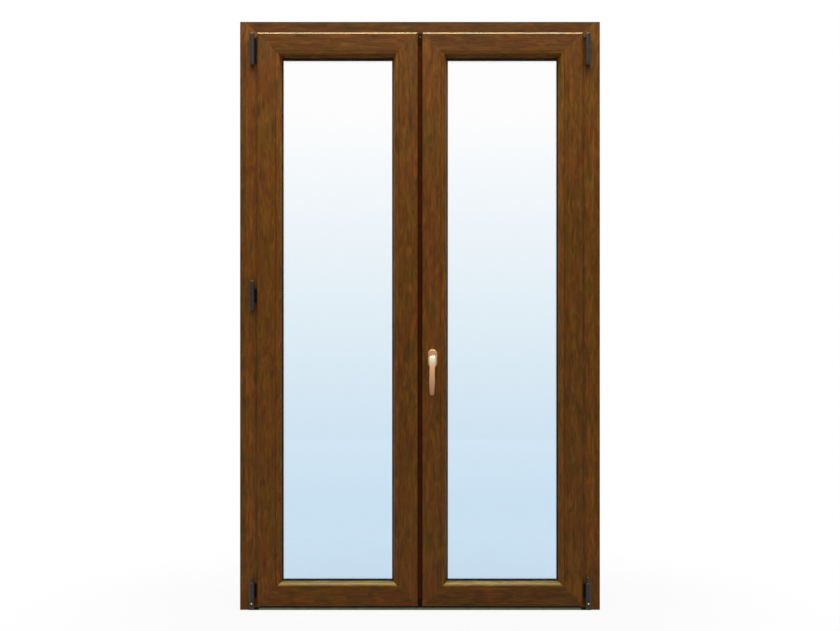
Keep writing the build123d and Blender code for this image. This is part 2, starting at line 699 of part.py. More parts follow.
def pinion():
    """The lock's pinion: involute teeth, bearing bosses and the square hole for the spindle."""
    base = PITCH_RADIUS * math.cos(PRESSURE_ANGLE)
    tip, root = PITCH_RADIUS + TOOTH_TIP, PITCH_RADIUS - TOOTH_ROOT
    roll = math.tan(PRESSURE_ANGLE) - PRESSURE_ANGLE
    half_tooth = math.pi / (2 * PINION_TEETH) - BACKLASH / (2 * PITCH_RADIUS)
    flank = []
    steps = 5
    for i in range(steps + 1):
        radius = base + (tip - base) * i / steps
        angle = math.acos(base / radius)
        flank.append((radius, half_tooth + roll - (math.tan(angle) - angle)))
    flank.insert(0, (root, flank[0][1] + 0.06))
    points = []
    for tooth in range(PINION_TEETH):
        centre = math.pi + 2 * math.pi * (tooth + 0.5) / PINION_TEETH
        for radius, angle in flank:
            points.append((radius * math.cos(centre - angle), radius * math.sin(centre - angle)))
        for radius, angle in reversed(flank):
            points.append((radius * math.cos(centre + angle), radius * math.sin(centre + angle)))
    half = ROD_WIDTH / 2
    plane = Plane(origin=(SPINDLE_X, GROOVE_Y + half, HANDLE_HEIGHT), x_dir=(1, 0, 0), z_dir=(0, -1, 0))
    part = extrude(plane * outline(points), amount=ROD_WIDTH)
    part += across(SPINDLE_X, HANDLE_HEIGHT, BOSS_RADIUS, GROOVE_Y - 5.6, GROOVE_Y + 5.6)
    side = SPINDLE_SIDE / 2
    return part - block(
        (SPINDLE_X - side, GROOVE_Y - 9, HANDLE_HEIGHT - side),
        (SPINDLE_X + side, GROOVE_Y + 9, HANDLE_HEIGHT + side),
    )


def rack_rod():
    """The lock stile's rod: a flat bar with a rack beside the pinion and three mushroom cams."""
    plane = Plane(origin=(0, GROOVE_Y + ROD_WIDTH / 2, 0), x_dir=(1, 0, 0), z_dir=(0, -1, 0))
    pitch = 2 * math.pi * PITCH_RADIUS / PINION_TEETH
    slope = math.tan(PRESSURE_ANGLE)
    root, tip = RACK_PITCH_LINE - TOOTH_ROOT, RACK_PITCH_LINE + TOOTH_TIP
    half = pitch / 4 - BACKLASH / 2
    first, last = -2, 6
    points = [(ROD_BACK, ROD_LEVELS[0]), (root, ROD_LEVELS[0])]
    for tooth in range(first, last + 1):
        z = HANDLE_HEIGHT + tooth * pitch
        points.append((root, z - half - TOOTH_ROOT * slope))
        points.append((tip, z - half + TOOTH_TIP * slope))
        points.append((tip, z + half - TOOTH_TIP * slope))
        points.append((root, z + half + TOOTH_ROOT * slope))
    points += [(root, ROD_LEVELS[1]), (ROD_BACK, ROD_LEVELS[1])]
    part = extrude(plane * outline(points), amount=ROD_WIDTH)
    for z in CAM_LEVELS:
        part += stile_cam(z)
    return part


def stile_cam(z):
    """A mushroom cam that stands out of the lock stile."""
    tip = BODY_MEETING - CAM_REACH
    stem = along_x(GROOVE_Y, z, CAM_STEM, tip, ROD_BACK + 0.5)
    return stem + along_x(GROOVE_Y, z, CAM_HEAD, tip, tip + 2)


def rail_rod(top):
    """The rod in the top or the bottom rail, with its cam."""
    x0, x1 = RAIL_ROD
    side = 1 if top else -1
    edge = BODY_TOP if top else BODY_BOTTOM
    near, far = edge - side * (FACEPLATE + FREE), edge - side * (FACEPLATE + FREE + ROD_THICKNESS)
    tip = edge + side * CAM_REACH
    half = ROD_WIDTH / 2
    part = block((x0, GROOVE_Y - half, min(near, far)), (x1, GROOVE_Y + half, max(near, far)))
    part += rod(RAIL_CAM, GROOVE_Y, CAM_STEM, *sorted((far + side * 0.5, tip)))
    return part + rod(RAIL_CAM, GROOVE_Y, CAM_HEAD, *sorted((tip - side * 2, tip)))


def faceplates():
    """The strips that close the lock groove, slotted where the cams run."""
    half, slot, corner = 7.8, 4.0, 22.0
    y0, y1 = GROOVE_Y - half, GROOVE_Y + half
    x0, room = BODY_MEETING, CAM_HEAD + 0.5
    plate = block((x0, y0, BODY_BOTTOM + corner), (x0 + FACEPLATE, y1, BODY_TOP - corner))
    for z in CAM_LEVELS:
        low, high = z - ROD_TRAVEL - room, z + room
        plate -= block((x0 - 1, GROOVE_Y - slot, low), (x0 + FACEPLATE + 1, GROOVE_Y + slot, high))
    plates = [plate]
    for top in (True, False):
        z0, z1 = (BODY_TOP - FACEPLATE, BODY_TOP) if top else (BODY_BOTTOM, BODY_BOTTOM + FACEPLATE)
        travel = -ROD_TRAVEL if top else ROD_TRAVEL
        low, high = min(RAIL_CAM, RAIL_CAM + travel) - room, max(RAIL_CAM, RAIL_CAM + travel) + room
        plate = block((x0 + corner, y0, z0), (RAIL_ROD[1] + 20, y1, z1))
        plates.append(plate - block((low, GROOVE_Y - slot, z0 - 1), (high, GROOVE_Y + slot, z1 + 1)))
    return plates


def gearbox():
    """The open lock case: two cheeks with the pinion's bearings, joined at the back."""
    x0, x1 = ROD_BACK, BODY_MEETING + 31.5
    z0, z1 = HANDLE_HEIGHT - CASE_HALF, HANDLE_HEIGHT + CASE_HALF
    case = block((x0, GROOVE_Y - 6, z0), (x1, GROOVE_Y + 6, z1))
    case -= block((x0 - 1, GROOVE_Y - 4.6, z0 - 1), (x1 - 1.2, GROOVE_Y + 4.6, z1 + 1))
    return case - across(SPINDLE_X, HANDLE_HEIGHT, BOSS_RADIUS + FREE, GROOVE_Y - 7, GROOVE_Y + 7)


def meeting_keeps():
    """The keeps on the meeting profile: a thin plate, and a hook above the place where each cam stops."""
    pieces = []
    face = MULLION_RIGHT
    for z in CAM_LEVELS:
        plate = block((face, GROOVE_Y - 9, z - 30), (face + 1.5, GROOVE_Y + 9, z + 34))
        hook = block((face, GROOVE_Y - 9, z + 7), (face + 8, GROOVE_Y - 5, z + 30))
        pieces.append(plate + hook)
    return pieces


def rail_keeps(top):
    """The keeps on the head or the threshold: the cam's hook, and the plate round the bolt's hole."""
    side = 1 if top else -1
    z0, z1 = (HEAD_REBATE - 2, HEAD_REBATE) if top else (THRESHOLD_HEIGHT, THRESHOLD_HEIGHT + 2)
    hook_z = (HEAD_REBATE - 8, HEAD_REBATE) if top else (THRESHOLD_HEIGHT, THRESHOLD_HEIGHT + 8)
    near, far = sorted((RAIL_CAM + side * 7, RAIL_CAM + side * 30))
    low, high = sorted((RAIL_CAM - side * 30, RAIL_CAM + side * 34))
    depth = 9 if top else 7.2
    plate = block((low, GROOVE_Y - depth, z0), (high, GROOVE_Y + 9, z1))
    cam = plate + block((near, GROOVE_Y - depth, hook_z[0]), (far, GROOVE_Y - 5, hook_z[1]))
    bolt = block((BOLT_X - 17, BOLT_Y - 9, z0), (BOLT_X + 17, BOLT_Y + 9, z1))
    return [cam, bolt - rod(BOLT_X, BOLT_Y, BOLT_HOLE, z0 - 1, z1 + 1)]


def oblong(width, length, height):
    """An oblong plate on the leaf's face round the spindle, its rim eased."""
    plane = Plane(origin=(SPINDLE_X, LEAF_ROOM, HANDLE_HEIGHT), x_dir=(1, 0, 0), z_dir=(0, -1, 0))
    plate = extrude(plane * (Rot(0, 0, 90) * SlotOverall(length, width)), amount=height)
    return fillet(plate.faces().sort_by(Axis.Y)[0].edges(), 2)


def handle_rosette():
    """The rosette: an oblong base, a raised crown inside its rim and a round collar for the neck."""
    plate = oblong(*ROSETTE) + oblong(*ROSETTE_CROWN)
    radius, height = COLLAR
    plate += across(SPINDLE_X, HANDLE_HEIGHT, radius, LEAF_ROOM - height, LEAF_ROOM - 1)
    return plate - across(SPINDLE_X, HANDLE_HEIGHT, NECK_RADIUS + FREE, LEAF_ROOM - 40, LEAF_ROOM + 1)


def handle_lever():
    """The lever: a turned neck and a hanging grip, broad at its head and slimmer to its round end."""
    neck_end = LEAF_ROOM - LEVER_STAND
    lever = across(SPINDLE_X, HANDLE_HEIGHT, NECK_RADIUS, neck_end, LEAF_ROOM - 1)
    sections = []
    for drop, width, thickness, lean in LEVER_SECTIONS:
        origin = (SPINDLE_X + lean, neck_end, HANDLE_HEIGHT - drop)
        plane = Plane(origin=origin, x_dir=(1, 0, 0), z_dir=(0, 0, -1))
        sections.append(plane * RectangleRounded(width, thickness, thickness * 0.42))
    return lever + loft(sections)


def handle_spindle():
    """The square bar between the lever and the pinion."""
    side = SPINDLE_SIDE / 2
    return block(
        (SPINDLE_X - side, LEAF_ROOM, HANDLE_HEIGHT - side),
        (SPINDLE_X + side, GROOVE_Y + 8, HANDLE_HEIGHT + side),
    )


def stay_arm():
    """The tilt stay: a barrel on the hinge axis, a crank behind the lip and a flat arm with its pin."""
    z0, z1 = STAY_LEVELS
    far = HINGE_X - STAY_LENGTH
    inner, outer = SLEEVE_INNER
    front, back = LIP_BACK + 0.4, ROOM - 0.4
    arm = outline(
        [
            (far - 7, GROOVE_Y - 7),
            (JAMB_REBATE - 7, GROOVE_Y - 7),
            (JAMB_REBATE - 4, front),
            (inner, front),
            (inner, HINGE_Y + 5),
            (outer, HINGE_Y + 5),
            (outer, back),
            (JAMB_REBATE - 0.6, back),
            (JAMB_REBATE - 0.6, GROOVE_Y + 7),
            (far - 7, GROOVE_Y + 7),
        ],
        [6.5, 4, 0, 0, 0, 0, 0, 0, 2, 6.5],
    )
    low, high = TOP_EYES[0][1] + FREE, TOP_EYES[1][0] - FREE
    part = upright(arm, z0, z1) + barrel(low, high)
    part += rod(far, GROOVE_Y, 3, BODY_TOP - 6, z0 + 1)
    return part - hinge_bore(HINGE_PIN_RADIUS + RUNNING, low - 1, high + 1)


def stay_guide():
    """The slotted plate in the top rail that the stay's pin runs in."""
    z0, z1 = BODY_TOP - FACEPLATE, BODY_TOP
    x0, x1 = STAY_SLOT
    plate = block((x0 - 5, GROOVE_Y - 7.8, z0), (x1 + 60, GROOVE_Y + 7.8, z1))
    return plate - block((x0, GROOVE_Y - 5, z0 - 1), (x1, GROOVE_Y + 5, z1 + 1))


def ball_pin():
    """The leaf's bottom pin, ending in the ball that it tilts on."""
    pin = rod(HINGE_X, HINGE_Y, BALL_PIN_RADIUS, TILT_AXIS_HEIGHT, BALL_PIN_TOP)
    return pin + Pos(HINGE_X, HINGE_Y, TILT_AXIS_HEIGHT) * Sphere(BALL_RADIUS)


def pivot_bush():
    """The bush that turns in the bottom cup and holds the ball."""
    seat = TILT_AXIS_HEIGHT - BALL_RADIUS - 0.4
    return hinge_bore(BUSH_RADIUS, *BUSH) - hinge_bore(BALL_RADIUS + FREE, seat, BUSH[1] + 1)


def hinge_pins():
    """The pins of the left leaf's three hinges, and the stay's pin on the right."""
    left = [mirrored(hinge_bore(HINGE_PIN_RADIUS, *span), True) for span in (TOP_PIN, MIDDLE_PIN, BOTTOM_PIN)]
    return [*left, hinge_bore(HINGE_PIN_RADIUS, *TOP_PIN)]


def frame_nodes():
    """Every piece that stays with the wall."""
    head, jamb_left, jamb_right = frame_bars()
    return {
        "frame_head": head,
        "frame_jamb_left": jamb_left,
        "frame_jamb_right": jamb_right,
        "jamb_extensions": strip_pieces(),
        "frame_reinforcement": steel_pieces(),
        "frame_gasket": frame_seal(),
        "threshold_rail": threshold_rail(),
        "threshold_sill": threshold_sill(),
        "thermal_break": threshold_break(),
        "threshold_end_blocks": threshold_ends(),
        "head_keeps": rail_keeps(True),
        "threshold_keeps": rail_keeps(False),
        "hinge_top_left_lug": mirrored(top_lug(), True),
        "stay_bearing": top_lug(),
        "hinge_middle_left_lug": mirrored(middle_lug(), True),
        "hinge_bottom_left_cup": mirrored(bottom_cup(HINGE_PIN_RADIUS + RUNNING, BOTTOM_PIN[0]), True),
        "hinge_bottom_right_cup": bottom_cup(BUSH_RADIUS + RUNNING, BUSH[0]),
        "hinge_pins": hinge_pins(),
    }


def leaf_nodes(side):
    """What the two leaves share: bars, steel, beads, glass and seals."""
    left = side == "left"
    nodes = {f"{side}_{name}": piece for name, piece in leaf_bars(left).items()}
    nodes[f"{side}_glazing_beads"] = leaf_beads(left)
    nodes[f"{side}_panes"], nodes[f"{side}_spacer"] = leaf_glass(left)
    nodes[f"{side}_glazing_gaskets"] = glazing_seals(left)
    nodes[f"{side}_leaf_gasket"] = lip_seal(left)
    nodes[f"{side}_reinforcement"] = leaf_steel(left)
    return nodes


def left_leaf_nodes():
    """The passive leaf's own pieces: meeting profile, bolts and hinge sleeves."""
    return {
        "meeting_profile": meeting_profile(),
        "meeting_end_caps": meeting_caps(),
        "meeting_keeps": meeting_keeps(),
        "hinge_top_left_sleeve": mirrored(leaf_sleeve(TOP_EYES), True),
        "hinge_middle_left_sleeve": mirrored(leaf_sleeve(MIDDLE_EYES), True),
        "hinge_bottom_left_sleeve": mirrored(bottom_sleeve(HINGE_PIN_RADIUS + RUNNING, BOTTOM_PIN[1]), True),
        "flush_bolt_top": flush_bolt(True),
        "flush_bolt_bottom": flush_bolt(False),
    }


def right_leaf_nodes():
    """The daily leaf's own pieces: tilt bearing, stay, lock gear and handle."""
    return {
        "hinge_bottom_right_sleeve": bottom_sleeve(BALL_PIN_RADIUS, BALL_PIN_TOP),
        "hinge_ball_pin": ball_pin(),
        "pivot_bush": pivot_bush(),
        "stay_arm": stay_arm(),
        "stay_guide": stay_guide(),
        "lock_faceplates": faceplates(),
        "lock_case": gearbox(),
        "lock_pinion": pinion(),
        "lock_rod_stile": rack_rod(),
        "lock_rod_top": rail_rod(True),
        "lock_rod_bottom": rail_rod(False),
        "handle_rosette": handle_rosette(),
        "handle_lever": handle_lever(),
        "handle_spindle": handle_spindle(),
    }


def write(name, shape):
    """One node's file: a single solid, or a group of loose ones."""
    pieces = shape if isinstance(shape, list) else [shape]
    solids = [solid for piece in pieces for solid in piece.solids()]
    export_step(Compound(children=solids) if len(solids) > 1 else solids[0], f"parts/{name}.step")


def main():
    os.makedirs("parts", exist_ok=True)
    nodes = frame_nodes() | leaf_nodes("left") | leaf_nodes("right")
    nodes |= left_leaf_nodes() | right_leaf_nodes()
    for name, shape in nodes.items():
        write(name, shape)
    print(len(nodes), "nodes")


main()
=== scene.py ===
# %% [markdown]
# # A pair of walnut-foiled french doors
# The doors are a pair of glazed PVC leaves in their own frame. The shapes come ready made from the
# measured CAD model, so this lesson is about finishes, such as foil, glass, anodised metal, zinc
# and rubber, about the small fasteners, and about the light and camera that show them as they are.

# %% Load the frame
import bpy
import math
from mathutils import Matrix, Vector


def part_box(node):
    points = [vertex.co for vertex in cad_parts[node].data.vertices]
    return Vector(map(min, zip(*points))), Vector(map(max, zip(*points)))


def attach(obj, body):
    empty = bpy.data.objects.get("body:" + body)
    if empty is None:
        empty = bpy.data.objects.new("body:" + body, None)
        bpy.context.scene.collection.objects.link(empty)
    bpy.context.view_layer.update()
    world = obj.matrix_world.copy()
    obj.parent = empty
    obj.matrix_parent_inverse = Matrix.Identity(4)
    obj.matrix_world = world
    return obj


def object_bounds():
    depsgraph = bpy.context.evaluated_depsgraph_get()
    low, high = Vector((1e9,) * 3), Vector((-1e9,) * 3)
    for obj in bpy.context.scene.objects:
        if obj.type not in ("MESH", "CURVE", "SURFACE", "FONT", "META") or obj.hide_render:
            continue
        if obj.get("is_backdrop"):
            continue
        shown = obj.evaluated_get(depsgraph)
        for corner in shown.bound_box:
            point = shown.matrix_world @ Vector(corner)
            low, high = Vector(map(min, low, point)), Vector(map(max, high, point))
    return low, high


MM = 0.001
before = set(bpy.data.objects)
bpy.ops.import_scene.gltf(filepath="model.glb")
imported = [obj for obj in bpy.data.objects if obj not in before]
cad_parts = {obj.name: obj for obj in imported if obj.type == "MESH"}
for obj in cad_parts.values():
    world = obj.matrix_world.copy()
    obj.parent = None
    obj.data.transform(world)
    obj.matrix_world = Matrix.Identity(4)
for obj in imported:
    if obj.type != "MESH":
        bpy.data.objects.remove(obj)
cad_low, cad_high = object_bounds()
print("CAD box", [round(v, 4) for v in cad_low], [round(v, 4) for v in cad_high])

# %% [markdown]
# ## Small helpers
# Colours are read off as sRGB hex values, while a renderer adds light up in linear numbers, so one
# function turns the first into the second. A second one adds a node with its settings and links,
# and a third one opens a new material. With these, every material below can be read from top to
# bottom as a list of nodes.

# %% Colour and node helpers
def linear(code, power=1.0):
    """An sRGB hex colour as linear RGBA; power 0.5 gives the tint of one pane out of two."""
    values = [int(code[i:i + 2], 16) / 255 for i in (1, 3, 5)]
    values = [v / 12.92 if v <= 0.04045 else ((v + 0.055) / 1.055) ** 2.4 for v in values]
    return (*[v ** power for v in values], 1.0)


def add(tree, kind, inputs=None, stops=None, **settings):
    """Add one node, set its properties, fill or link its inputs, and give a ramp its stops."""
    node = tree.nodes.new(kind)
    for name, value in settings.items():
        setattr(node, name, value)
    for key, value in (inputs or {}).items():
        if isinstance(value, bpy.types.NodeSocket):
            tree.links.new(value, node.inputs[key])
        else:
            node.inputs[key].default_value = value
    for i, (place, colour) in enumerate(stops or []):
        spot = node.color_ramp.elements[i] if i < 2 else node.color_ramp.elements.new(place)
        spot.position, spot.color = place, colour
    return node


def start_material(name):
    """A new material with its node tree and its Principled shader."""
    material = bpy.data.materials.new(name)
    material.use_nodes = True
    tree = material.node_tree
    return material, tree, tree.nodes["Principled BSDF"]


print("helpers ready")

# %% [markdown]
# ## The camera
# The photograph looks straight at the doors with no leaning lines. A camera 4 m from the frame's
# room face that looks level gives upright edges, and a small upward shift of the lens lifts the
# frame in the picture without tilting it, as an architectural lens does.

# %% Camera
PHOTO_WIDTH_M = 3.0          # what the photograph's width covers at the frame's room face
CAMERA_DISTANCE = 4.0
CAMERA_HEIGHT = 0.88
PICTURE_MIDDLE = 1.0514      # height that the middle of the photograph looks at
FACE_Y = -0.035              # the frame's room face

lens_data = bpy.data.cameras.new("camera")
lens_data.sensor_width = 36.0
lens_data.sensor_fit = "HORIZONTAL"
lens_data.lens = 36.0 * CAMERA_DISTANCE / PHOTO_WIDTH_M
lens_data.shift_y = (PICTURE_MIDDLE - CAMERA_HEIGHT) / PHOTO_WIDTH_M
camera = bpy.data.objects.new("camera", lens_data)
camera.location = (0.0, FACE_Y - CAMERA_DISTANCE, CAMERA_HEIGHT)
camera.rotation_euler = (math.pi / 2, 0.0, 0.0)
bpy.context.collection.objects.link(camera)
bpy.context.scene.camera = camera
bpy.context.scene.view_settings.view_transform = "Standard"
print("lens", round(lens_data.lens, 2), "mm")

# %% [markdown]
# ## White surroundings
# The doors stand before plain white. The world lights them at a plain level, and the rays that the
# camera, a gloss or the glass sends out see it as full white. Only towards the room, where a real
# studio is less bright, a gloss sees a greyer white, and that is what gives metal its modelling.

# %% World
ROOM_LEVEL = 0.47            # what the white room gives to matt surfaces
GREY_SIDE = 0.55             # what a gloss sees of it towards the room


def sees_white(tree):
    """Two masks: 1 for camera rays and rays through glass, then the same with gloss rays too."""
    path = add(tree, "ShaderNodeLightPath")
    clear = add(tree, "ShaderNodeMath", {0: path.outputs["Is Camera Ray"],
                                         1: path.outputs["Is Transmission Ray"]},
                operation="MAXIMUM").outputs[0]
    seen = add(tree, "ShaderNodeMath", {0: clear, 1: path.outputs["Is Glossy Ray"]},
               operation="MAXIMUM").outputs[0]
    return clear, seen


world = bpy.data.worlds.new("white_studio")
bpy.context.scene.world = world
world.use_nodes = True
tree = world.node_tree
tree.nodes.clear()
room_light = add(tree, "ShaderNodeBackground", {"Color": linear("#ffffff"),
                                                "Strength": ROOM_LEVEL})
clear, seen = sees_white(tree)
aim = add(tree, "ShaderNodeSeparateXYZ", {0: add(tree, "ShaderNodeTexCoord").outputs["Generated"]})
behind = add(tree, "ShaderNodeMapRange", {0: aim.outputs["Y"], 1: -0.3, 2: 0.2,
                                          3: GREY_SIDE, 4: 1.0})
above = add(tree, "ShaderNodeMapRange", {0: aim.outputs["Z"], 1: 0.25, 2: 0.7,
                                         3: GREY_SIDE, 4: 1.0})
gloss = add(tree, "ShaderNodeMath", {0: behind.outputs[0], 1: above.outputs[0]},
            operation="MAXIMUM")
level = add(tree, "ShaderNodeMath", {0: gloss.outputs[0], 1: clear}, operation="MAXIMUM")
white = add(tree, "ShaderNodeBackground", {"Color": linear("#ffffff"),
                                           "Strength": level.outputs[0]})
mix = add(tree, "ShaderNodeMixShader", {0: seen, 1: room_light.outputs[0], 2: white.outputs[0]})
add(tree, "ShaderNodeOutputWorld", {"Surface": mix.outputs[0]})
print("world level", ROOM_LEVEL)

# %% [markdown]
# ## The floor
# The floor is a pale matt sheet. Close to the doors it keeps a part of its own shading, which holds
# their shadow, and further off it fades to white, so that no edge of it shows through the glass.

# %% Floor
FLOOR_REACH = 9.0
UNDER_THE_DOORS = 0.0005     # a gap that keeps the two faces from flickering

floor_mesh = bpy.data.meshes.new("floor")
corners = [(u * FLOOR_REACH, v * FLOOR_REACH, 0) for u, v in ((-1, -1), (1, -1), (1, 1), (-1, 1))]
floor_mesh.from_pydata(corners, [], [(0, 1, 2, 3)])
floor = bpy.data.objects.new("floor", floor_mesh)
floor.location.z = cad_low.z - UNDER_THE_DOORS
bpy.context.collection.objects.link(floor)
floor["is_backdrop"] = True

material, tree, shader = start_material("pale_floor")
shader.inputs["Base Color"].default_value = linear("#a3a3a1")
shader.inputs["Roughness"].default_value = 0.9
shader.inputs["Specular IOR Level"].default_value = 0.0
place = add(tree, "ShaderNodeTexCoord").outputs["Object"]
away = add(tree, "ShaderNodeVectorMath", {0: place}, operation="LENGTH").outputs["Value"]
fade = add(tree, "ShaderNodeMapRange", {0: away, 1: 0.5, 2: 1.7, 3: 0.92, 4: 1.0},
           interpolation_type="SMOOTHSTEP")
share = add(tree, "ShaderNodeMath", {0: sees_white(tree)[1], 1: fade.outputs[0]},
            operation="MULTIPLY")
glow = add(tree, "ShaderNodeEmission", {"Color": linear("#ffffff"), "Strength": 1.0})
mix = add(tree, "ShaderNodeMixShader", {0: share.outputs[0], 1: shader.outputs[0],
                                        2: glow.outputs[0]})
tree.links.new(mix.outputs[0], tree.nodes["Material Output"].inputs["Surface"])
floor_mesh.materials.append(material)
print("floor at", round(floor.location.z, 4))

# %% [markdown]
# ## Lamps
# The photograph has its main light overhead: rounded edges that face up are nearly white, and the
# wood darkens towards the floor. A long soft box straight above the doors does both, because it
# only grazes the upright faces. Two wide ones, high in front and high behind, fill the two sides
# evenly, from where neither the glass nor the foil mirrors them to the camera.

# %% Lamps
def soft_box(name, place, aim, width, height, power):
    """One rectangular area lamp that looks at a point."""
    data = bpy.data.lights.new(name, "AREA")
    data.shape, data.size, data.size_y, data.energy = "RECTANGLE", width, height, power
    lamp = bpy.data.objects.new(name, data)
    lamp.location = place
    lamp.rotation_euler = (Vector(aim) - Vector(place)).to_track_quat("-Z", "Y").to_euler()
    bpy.context.collection.objects.link(lamp)


soft_box("overhead_soft_box", (0.0, -0.45, 3.7), (0.0, -0.3, 0.0), 3.2, 0.5, 110)
soft_box("front_soft_box", (0.0, -3.0, 4.2), (0.0, 0.0, 1.1), 3.2, 1.0, 58)
soft_box("back_soft_box", (0.0, 3.0, 4.2), (0.0, 0.0, 1.1), 3.2, 1.0, 80)

# %% [markdown]
# ## Walnut foil
# The bars are welded PVC wrapped in a printed and embossed acrylic foil. Foil is not varnished
# wood: its gloss is even and low. Its print shows reddish and olive clouds some 50 mm wide, a soft
# figure of 15 mm, streaks of a few millimetres along the bar, and short dark pores. All of it runs
# along the bar, so the welded corners show a change of direction. One function makes the foil for
# a direction and a place in the print, because no two bars are cut from the same spot.

# %% Foil function
CLOUD = 46 * MM              # width of the reddish and olive clouds
STREAK = 7 * MM              # width of the printed streaks
FIGURE = 15 * MM             # width of the soft figure
PORE = 4 * MM                # real pores are 0.3 mm; drawn as coarse as a pixel can show
EMBOSS = 0.5 * MM            # depth that the bump takes the print for


def walnut_foil(name, along, offset, light=1.0, gloss=0.13, rough=(0.42, 0.32), hue_turn=0.5):
    """Printed walnut foil, grain along "x" or "z"; a hue_turn above 0.5 makes it more olive."""
    material, tree, shader = start_material(name)
    place = add(tree, "ShaderNodeTexCoord").outputs["Object"]
    turn = (0.0, math.pi / 2, 0.0) if along == "x" else (0.0, 0.0, 0.0)
    grain = add(tree, "ShaderNodeMapping", {"Vector": place, "Location": offset,
                                            "Rotation": turn}).outputs[0]
    layers = []
    for width, stretch, detail, warp in ((STREAK, 0.05, 2.0, 0.5), (FIGURE, 0.24, 1.6, 1.1),
                                         (PORE, 0.14, 1.0, 0.3)):
        spread = add(tree, "ShaderNodeMapping", {"Vector": grain, "Scale": (1.0, 1.0, stretch)})
        layers.append(add(tree, "ShaderNodeTexNoise", {
            "Vector": spread.outputs[0], "Scale": 1 / width, "Detail": detail,
            "Roughness": 0.55, "Distortion": warp}).outputs[0])
    streaks, figure, pores = layers
    print_depth = add(tree, "ShaderNodeMath", {0: streaks, 1: 0.36, 2: 0.0},
                      operation="MULTIPLY_ADD")
    print_depth = add(tree, "ShaderNodeMath", {0: figure, 1: 0.55, 2: print_depth.outputs[0]},
                      operation="MULTIPLY_ADD")
    print_depth = add(tree, "ShaderNodeMath", {0: pores, 1: 0.08, 2: print_depth.outputs[0]},
                      operation="MULTIPLY_ADD")
    ground = add(tree, "ShaderNodeValToRGB", {0: print_depth.outputs[0]},
                 [(0.32, linear("#472a08")), (0.70, linear("#7a4a15")), (0.45, linear("#5b360a")),
                  (0.52, linear("#633b0c")), (0.59, linear("#6d420f"))])

    wide = add(tree, "ShaderNodeMapping", {"Vector": grain, "Scale": (1.0, 1.0, 0.35)})
    clouds = add(tree, "ShaderNodeTexNoise", {"Vector": wide.outputs[0], "Scale": 1 / CLOUD,
                                              "Detail": 2.0, "Roughness": 0.5})
    # The stops below are factors and not colours: under 1 and over 1, from olive to reddish.
    hue = add(tree, "ShaderNodeValToRGB", {0: clouds.outputs[0]},
              [(0.34, (0.91, 1.02, 0.8, 1)), (0.68, (1.08, 0.91, 1.15, 1)),
               (0.46, (0.99, 1.01, 0.88, 1)), (0.56, (1.04, 0.98, 1.0, 1))])
    tinted = add(tree, "ShaderNodeMix", {"Factor": 1.0, 6: ground.outputs[0],
                                         7: hue.outputs[0]},
                 data_type="RGBA", blend_type="MULTIPLY")
    bright = add(tree, "ShaderNodeHueSaturation", {"Color": tinted.outputs[2], "Hue": hue_turn,
                                                   "Value": light})
    tree.links.new(bright.outputs[0], shader.inputs["Base Color"])

    uneven = add(tree, "ShaderNodeMapRange", {0: streaks, 3: rough[0], 4: rough[1]})
    tree.links.new(uneven.outputs[0], shader.inputs["Roughness"])
    emboss = add(tree, "ShaderNodeMath", {0: streaks, 1: pores}, operation="ADD")
    bump = add(tree, "ShaderNodeBump", {"Height": emboss.outputs[0], "Strength": 0.2,
                                        "Distance": EMBOSS})
    tree.links.new(bump.outputs[0], shader.inputs["Normal"])
    shader.inputs["Specular IOR Level"].default_value = gloss
    return material


def dress(node, *materials):
    """Give a CAD node its materials, in place of what it was packed with."""
    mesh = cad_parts[node].data
    mesh.materials.clear()
    for one in materials:
        mesh.materials.append(one)
    return mesh


print("foil function ready")

# %% [markdown]
# ## Core and cover
# Foil only wraps what shows when the doors are shut. In the rebates, where leaf and frame meet,
# the bare brown PVC of the bar is left. Rollers press the foil round an edge of 6 mm, which
# stretches it smooth. In the photograph the bends that face up, and the ledge of the bottom bead,
# are far paler than the wood, because they catch the light from overhead. These lamps don't make
# them as pale, so their foil is set lighter and a little more olive than the real one is. In the
# same way, each bar's last number evens out its tone against the photograph: the head, right under
# the overhead lamp, is set darker, and the jambs are set lighter. Under other light, 1 is neutral.

# %% Foil on the bars
def plastic_core(name):
    """Bare extruded PVC: brown through and through, with faint unevenness from the die."""
    cloud, relief = 9 * MM, 0.3 * MM
    material, tree, shader = start_material(name)
    place = add(tree, "ShaderNodeTexCoord").outputs["Object"]
    uneven = add(tree, "ShaderNodeTexNoise", {"Vector": place, "Scale": 1 / cloud,
                                              "Detail": 2.0})
    tone = add(tree, "ShaderNodeValToRGB", {0: uneven.outputs[0]},
               [(0.3, linear("#24150c")), (0.7, linear("#33200f"))])
    tree.links.new(tone.outputs[0], shader.inputs["Base Color"])
    rough = add(tree, "ShaderNodeMapRange", {0: uneven.outputs[0], 3: 0.5, 4: 0.38})
    tree.links.new(rough.outputs[0], shader.inputs["Roughness"])
    bump = add(tree, "ShaderNodeBump", {"Height": uneven.outputs[0], "Strength": 0.15,
                                        "Distance": relief})
    tree.links.new(bump.outputs[0], shader.inputs["Normal"])
    shader.inputs["Specular IOR Level"].default_value = 0.35
    return material


core = plastic_core("brown_pvc_core")
LEAF = {"left": ("left_hinge_stile", "left_lock_stile"),
        "right": ("right_lock_stile", "right_hinge_stile")}
LIP_BACK, LEAF_BACK = -0.0385, 0.016       # depths of a leaf's lip and of its outdoor face
OVERLAP, BEND = 0.020, 0.0064              # how far the lip laps, and the radius of its edge
REBATE_WIDTH = 0.040                       # beyond this a leaf's faces belong to its glass
FRAME_REBATE, LEG_INNER = 0.050, 0.019     # the frame's face width, and where its leg begins
TILTED_UP, LEVEL = 0.12, 0.995             # how far up a face looks: 0 is upright, 1 is level
BEND_LIGHT = 2.5                           # how much lighter the foil on a bend is set
NEAR = 0.001


